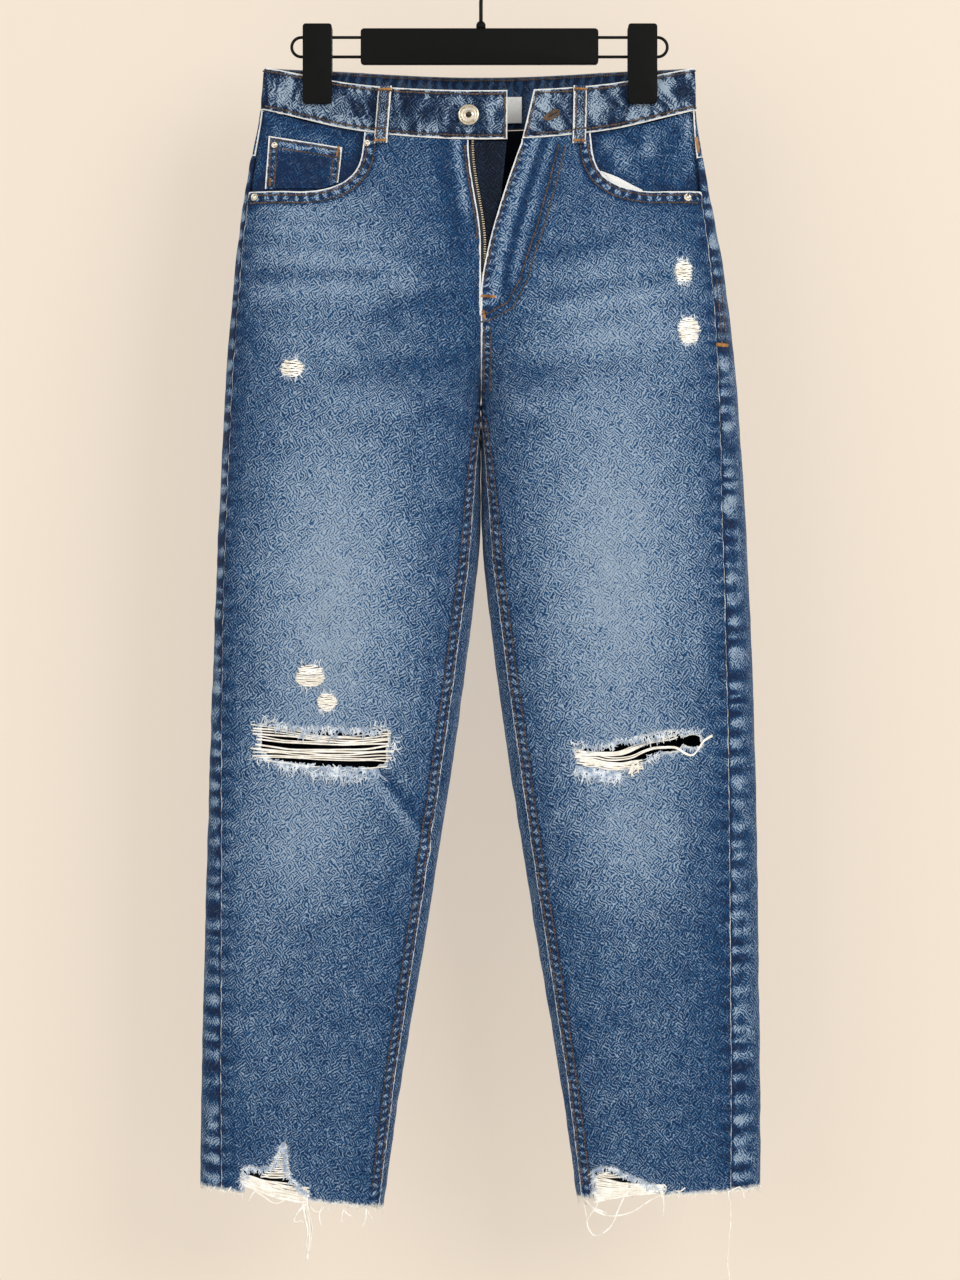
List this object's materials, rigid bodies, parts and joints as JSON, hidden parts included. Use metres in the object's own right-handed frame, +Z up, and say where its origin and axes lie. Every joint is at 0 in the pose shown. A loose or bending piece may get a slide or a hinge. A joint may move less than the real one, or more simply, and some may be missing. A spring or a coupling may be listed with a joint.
{
  "type": "ripped jeans on a clip hanger",
  "caption": "Straight-leg ripped jeans with an open waist, torn knees and frayed hems, hanging by the waistband from a plain hanger with clips.",
  "frame": {"origin": "underside of the hook's arch, where a rail carries the hanger", "axes": "+Z up through the hook, +X to the wearer's left, front towards -Y"},
  "size_m": [0.4724, 0.1065, 1.1431],
  "materials": {
    "denim": "worn cotton twill",
    "denim_dark": "unfaded cotton twill",
    "yarn": "undyed cotton yarn",
    "lining": "plain cotton pocketing",
    "zip_tape": "woven tape",
    "zip_metal": "aged",
    "button_metal": "pale satin",
    "hanger_plastic": "moulded",
    "hanger_metal": "black enamel"
  },
  "bodies": {
    "root": {"back_panel_left": "denim", "back_panel_right": "denim", "back_pocket_left": "denim", "back_pocket_right": "denim", "belt_loop_back_centre": "denim", "belt_loop_back_left": "denim", "belt_loop_back_right": "denim", "belt_loop_front_left": "denim", "belt_loop_front_right": "denim", "button": "button_metal", "coin_pocket": "denim", "fly_shield": "denim_dark", "front_panel_left": "denim", "front_panel_right": "denim", "hanger_clip_back_left": "hanger_plastic", "hanger_clip_back_right": "hanger_plastic", "hanger_clip_front_left": "hanger_plastic", "hanger_clip_front_right": "hanger_plastic", "hanger_ferrule": "hanger_metal", "hanger_hook": "hanger_metal", "hanger_plate": "hanger_plastic", "hanger_spring_left": "hanger_metal", "hanger_spring_right": "hanger_metal", "hanger_wire": "hanger_metal", "hem_fringe_left": "yarn", "hem_fringe_right": "yarn", "hem_tassel_right": "yarn", "hem_weft_left": "yarn", "hem_weft_right": "yarn", "knee_threads_left": "yarn", "knee_threads_right": "yarn", "label": "lining", "loose_thread_left": "yarn", "pocket_facing_left": "denim", "pocket_facing_right": "denim", "pocket_lining_left": "lining", "rivet_coin_pocket": "button_metal", "rivet_left_outer": "button_metal", "rivet_right_inner": "button_metal", "rivet_right_outer": "button_metal", "waistband": "denim", "yoke_left": "denim", "yoke_right": "denim", "zip_pull": "zip_metal", "zip_slider": "zip_metal", "zip_tape_left": "zip_tape", "zip_tape_right": "zip_tape", "zip_teeth_left": "zip_metal", "zip_teeth_right": "zip_metal"}
  },
  "joints": []
}
